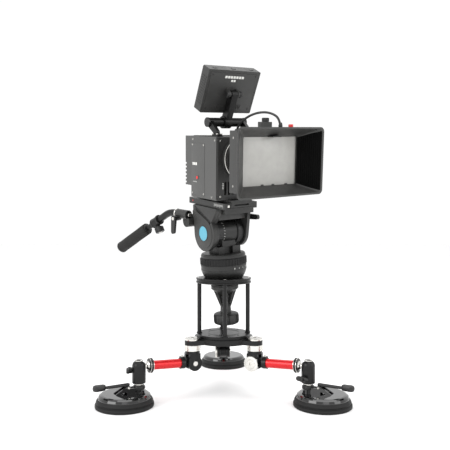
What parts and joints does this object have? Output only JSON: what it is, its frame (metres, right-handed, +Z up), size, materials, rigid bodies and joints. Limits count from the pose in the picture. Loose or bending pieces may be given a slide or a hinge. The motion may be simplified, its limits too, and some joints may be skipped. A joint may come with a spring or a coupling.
{
  "type": "suction cup camera support with fluid head and cinema camera",
  "caption": "Suction-cup camera support: red swivelling legs, rod riser with bowl, fluid head with pan handle, and a box cinema camera with matte box and flip monitor.",
  "frame": {"origin": "on the surface under the suction cups, on the axis of the four-rod riser", "axes": "+Z up along the riser, +X to the right, -Y towards the front, between the two front legs"},
  "size_m": [0.5109, 0.5439, 0.6767],
  "materials": {
    "black_anodised": "satin black anodised",
    "silver": "machined silver",
    "red_anodised": "red anodised",
    "black_plastic": "moulded matte black",
    "gloss_black": "gloss black",
    "rubber": "black rubber",
    "grey_metal": "grey black powder coat",
    "head_metal": "black crackle paint",
    "red_plastic": "red",
    "filter_glass": "grey reflecting filter",
    "chrome_steel": "brushed",
    "foam": "foam grip"
  },
  "bodies": {
    "base": {"base_plate": "black_anodised", "riser_rods": "black_anodised", "bowl_ring": "black_anodised"},
    "leg_left_swivel": {"leg_left_swivel_bolts": "silver", "leg_left_fork": "black_anodised"},
    "leg_left_arm": {"leg_left_collar": "black_anodised", "leg_left_tube": "red_anodised", "leg_left_ball_stem": "silver"},
    "leg_left_ball_socket": {"leg_left_socket": "black_anodised"},
    "leg_left_wing": {"leg_left_wing_knob": "black_plastic"},
    "leg_left_cup": {"leg_left_cup_shell": "gloss_black", "leg_left_cup_rubber": "rubber"},
    "leg_left_lever": {"leg_left_cup_lever": "black_plastic"},
    "leg_right_swivel": {"leg_right_swivel_bolts": "silver", "leg_right_fork": "black_anodised"},
    "leg_right_arm": {"leg_right_collar": "black_anodised", "leg_right_tube": "red_anodised", "leg_right_ball_stem": "silver"},
    "leg_right_ball_socket": {"leg_right_socket": "black_anodised"},
    "leg_right_wing": {"leg_right_wing_knob": "black_plastic"},
    "leg_right_cup": {"leg_right_cup_shell": "gloss_black", "leg_right_cup_rubber": "rubber"},
    "leg_right_lever": {"leg_right_cup_lever": "black_plastic"},
    "leg_rear_swivel": {"leg_rear_swivel_bolts": "silver", "leg_rear_fork": "black_anodised"},
    "leg_rear_arm": {"leg_rear_collar": "black_anodised", "leg_rear_tube": "red_anodised", "leg_rear_ball_stem": "silver"},
    "leg_rear_ball_socket": {"leg_rear_socket": "black_anodised"},
    "leg_rear_wing": {"leg_rear_wing_knob": "black_plastic"},
    "leg_rear_cup": {"leg_rear_cup_shell": "gloss_black", "leg_rear_cup_rubber": "rubber"},
    "leg_rear_lever": {"leg_rear_cup_lever": "black_plastic"},
    "level_pad_body": {"level_pad": "black_plastic"},
    "ball": {"ball_base": "head_metal", "clamp_cup": "black_plastic"},
    "tie_down_knob": {"tie_knob": "black_plastic"},
    "pan_drag": {"pan_drag_ring": "rubber"},
    "pan": {"pan_body": "head_metal"},
    "tilt_dial_left": {"dial_left": "black_plastic"},
    "tilt_dial_right": {"dial_right": "black_plastic"},
    "tilt": {"tilt_frame": "head_metal", "arm_cover": "head_metal"},
    "tilt_lock": {"lock_lever": "black_plastic"},
    "handle_mount": {"handle_clamp": "head_metal", "handle_tube": "black_anodised"},
    "handle_paddle": {"clamp_paddle": "black_plastic"},
    "handle_grip_body": {"handle_grip": "foam"},
    "camera": {"camera_plate": "head_metal", "camera_body": "grey_metal", "camera_front": "black_anodised", "lens_barrel": "black_anodised", "matte_box": "black_plastic", "monitor_mount": "black_anodised", "camera_cable": "rubber"},
    "record": {"record_button": "red_plastic"},
    "focus": {"focus_ring": "rubber"},
    "filter": {"filter_tray": "filter_glass"},
    "monitor_arm_body": {"monitor_arm": "black_plastic"},
    "monitor_body": {"monitor": "black_plastic"}
  },
  "joints": [
    {"name": "leg_left_swivel_turn", "type": "hinge", "parent": "base", "child": "leg_left_swivel", "pos_m": [-0.06495, -0.0375, 0.1], "axis": [0, 0, 1], "range_deg": [-25, 25]},
    {"name": "leg_left_knuckle_hinge", "type": "hinge", "parent": "leg_left_swivel", "child": "leg_left_arm", "pos_m": [-0.06495, -0.0375, 0.0675], "axis": [-0.5, 0.866, 0], "range_deg": [-55, 15]},
    {"name": "leg_left_ball_tilt", "type": "hinge", "parent": "leg_left_arm", "child": "leg_left_ball_socket", "pos_m": [-0.168, -0.09699, 0.07374], "axis": [-0.5, 0.866, 0], "range_deg": [-15, 15]},
    {"name": "leg_left_wing_spin", "type": "hinge", "parent": "leg_left_ball_socket", "child": "leg_left_wing", "pos_m": [-0.183, -0.09699, 0.06574], "axis": [-1, 0, 0], "range_deg": [-180, 180]},
    {"name": "leg_left_cup_turn", "type": "hinge", "parent": "leg_left_ball_socket", "child": "leg_left_cup", "pos_m": [-0.168, -0.09699, 0.03], "axis": [0, 0, 1], "range_deg": [-60, 60]},
    {"name": "leg_left_lever_lift", "type": "hinge", "parent": "leg_left_cup", "child": "leg_left_lever", "pos_m": [-0.18878, -0.10899, 0.035], "axis": [-0.5, 0.866, 0], "range_deg": [0, 50]},
    {"name": "leg_right_swivel_turn", "type": "hinge", "parent": "base", "child": "leg_right_swivel", "pos_m": [0.06495, -0.0375, 0.1], "axis": [0, 0, 1], "range_deg": [-25, 25]},
    {"name": "leg_right_knuckle_hinge", "type": "hinge", "parent": "leg_right_swivel", "child": "leg_right_arm", "pos_m": [0.06495, -0.0375, 0.0675], "axis": [-0.5, -0.866, 0], "range_deg": [-55, 15]},
    {"name": "leg_right_ball_tilt", "type": "hinge", "parent": "leg_right_arm", "child": "leg_right_ball_socket", "pos_m": [0.168, -0.09699, 0.07374], "axis": [-0.5, -0.866, 0], "range_deg": [-15, 15]},
    {"name": "leg_right_wing_spin", "type": "hinge", "parent": "leg_right_ball_socket", "child": "leg_right_wing", "pos_m": [0.15739, -0.1076, 0.05174], "axis": [-0.7071, -0.7071, 0], "range_deg": [-180, 180]},
    {"name": "leg_right_cup_turn", "type": "hinge", "parent": "leg_right_ball_socket", "child": "leg_right_cup", "pos_m": [0.168, -0.09699, 0.03], "axis": [0, 0, 1], "range_deg": [-60, 60]},
    {"name": "leg_right_lever_lift", "type": "hinge", "parent": "leg_right_cup", "child": "leg_right_lever", "pos_m": [0.18878, -0.10899, 0.035], "axis": [-0.5, -0.866, 0], "range_deg": [0, 50]},
    {"name": "leg_rear_swivel_turn", "type": "hinge", "parent": "base", "child": "leg_rear_swivel", "pos_m": [0, 0.075, 0.1], "axis": [0, 0, 1], "range_deg": [-25, 25]},
    {"name": "leg_rear_knuckle_hinge", "type": "hinge", "parent": "leg_rear_swivel", "child": "leg_rear_arm", "pos_m": [0, 0.075, 0.0675], "axis": [1, 0, 0], "range_deg": [-55, 15]},
    {"name": "leg_rear_ball_tilt", "type": "hinge", "parent": "leg_rear_arm", "child": "leg_rear_ball_socket", "pos_m": [0, 0.19399, 0.07374], "axis": [1, 0, 0], "range_deg": [-15, 15]},
    {"name": "leg_rear_wing_spin", "type": "hinge", "parent": "leg_rear_ball_socket", "child": "leg_rear_wing", "pos_m": [0.015, 0.19399, 0.05874], "axis": [1, 0, 0], "range_deg": [-180, 180]},
    {"name": "leg_rear_cup_turn", "type": "hinge", "parent": "leg_rear_ball_socket", "child": "leg_rear_cup", "pos_m": [0, 0.19399, 0.03], "axis": [0, 0, 1], "range_deg": [-60, 60]},
    {"name": "leg_rear_lever_lift", "type": "hinge", "parent": "leg_rear_cup", "child": "leg_rear_lever", "pos_m": [0, 0.21799, 0.035], "axis": [1, 0, 0], "range_deg": [0, 50]},
    {"name": "level_roll", "type": "hinge", "parent": "base", "child": "level_pad_body", "pos_m": [0, 0, 0.271], "axis": [0, 1, 0], "range_deg": [-3, 8.5]},
    {"name": "level_pitch", "type": "hinge", "parent": "level_pad_body", "child": "ball", "pos_m": [0, 0, 0.271], "axis": [0.9988, 0, 0.0497], "range_deg": [-10.5, 1.3]},
    {"name": "tie_knob_spin", "type": "hinge", "parent": "ball", "child": "tie_down_knob", "pos_m": [0.0059, 0.00963, 0.15254], "axis": [-0.0496, -0.0809, 0.9955], "continuous": true},
    {"name": "pan_drag_turn", "type": "hinge", "parent": "ball", "child": "pan_drag", "pos_m": [-0.0004, -0.00065, 0.27896], "axis": [-0.0496, -0.0809, 0.9955], "range_deg": [-150, 150]},
    {"name": "pan_turn", "type": "hinge", "parent": "ball", "child": "pan", "pos_m": [-0.00099, -0.00162, 0.29091], "axis": [-0.0496, -0.0809, 0.9955], "continuous": true},
    {"name": "tilt_dial_left_turn", "type": "hinge", "parent": "pan", "child": "tilt_dial_left", "pos_m": [-0.01993, -0.01674, 0.33796], "axis": [0.8254, 0.5579, 0.0864], "range_deg": [-150, 150]},
    {"name": "tilt_dial_right_turn", "type": "hinge", "parent": "pan", "child": "tilt_dial_right", "pos_m": [0.02134, 0.01116, 0.34228], "axis": [0.8254, 0.5579, 0.0864], "range_deg": [-150, 150]},
    {"name": "tilt_turn", "type": "hinge", "parent": "pan", "child": "tilt", "pos_m": [-0.00342, -0.00558, 0.33969], "axis": [0.8254, 0.5579, 0.0864], "range_deg": [-40, 35]},
    {"name": "tilt_lock_turn", "type": "hinge", "parent": "tilt", "child": "tilt_lock", "pos_m": [0.04939, 0.00094, 0.37178], "axis": [0.8254, 0.5579, 0.0864], "range_deg": [-20, 40]},
    {"name": "handle_pitch", "type": "hinge", "parent": "tilt", "child": "handle_mount", "pos_m": [-0.07315, 0.01336, 0.36268], "axis": [0.8254, 0.5579, 0.0864], "range_deg": [-25, 30]},
    {"name": "paddle_turn", "type": "hinge", "parent": "handle_mount", "child": "handle_paddle", "pos_m": [-0.10623, 0.01492, 0.36767], "axis": [-0.69, -0.7149, -0.1137], "range_deg": [-40, 40]},
    {"name": "grip_slide", "type": "slide", "parent": "handle_mount", "child": "handle_grip_body", "axis": [-0.6246, 0.6673, -0.4057], "range_m": [0, 0.02]},
    {"name": "camera_plate_slide", "type": "slide", "parent": "tilt", "child": "camera", "axis": [0.5645, -0.8134, -0.1404], "range_m": [-0.03, 0.03]},
    {"name": "record_press", "type": "slide", "parent": "camera", "child": "record", "axis": [-0.5645, 0.8134, 0.1404], "range_m": [0, 0.0015], "stiffness_N_per_m": 300},
    {"name": "focus_turn", "type": "hinge", "parent": "camera", "child": "focus", "pos_m": [0.04584, -0.10087, 0.48438], "axis": [0.5645, -0.8134, -0.1404], "range_deg": [-150, 150]},
    {"name": "filter_lift", "type": "slide", "parent": "camera", "child": "filter", "axis": [0.008, -0.1647, 0.9863], "range_m": [0, 0.11]},
    {"name": "monitor_arm_turn", "type": "hinge", "parent": "camera", "child": "monitor_arm_body", "pos_m": [0.00724, -0.05621, 0.56475], "axis": [0.8254, 0.5579, 0.0864], "range_deg": [-60, 40]},
    {"name": "monitor_tilt", "type": "hinge", "parent": "monitor_arm_body", "child": "monitor_body", "pos_m": [0.0201, -0.08944, 0.61479], "axis": [0.8254, 0.5579, 0.0864], "range_deg": [0, 45]}
  ]
}
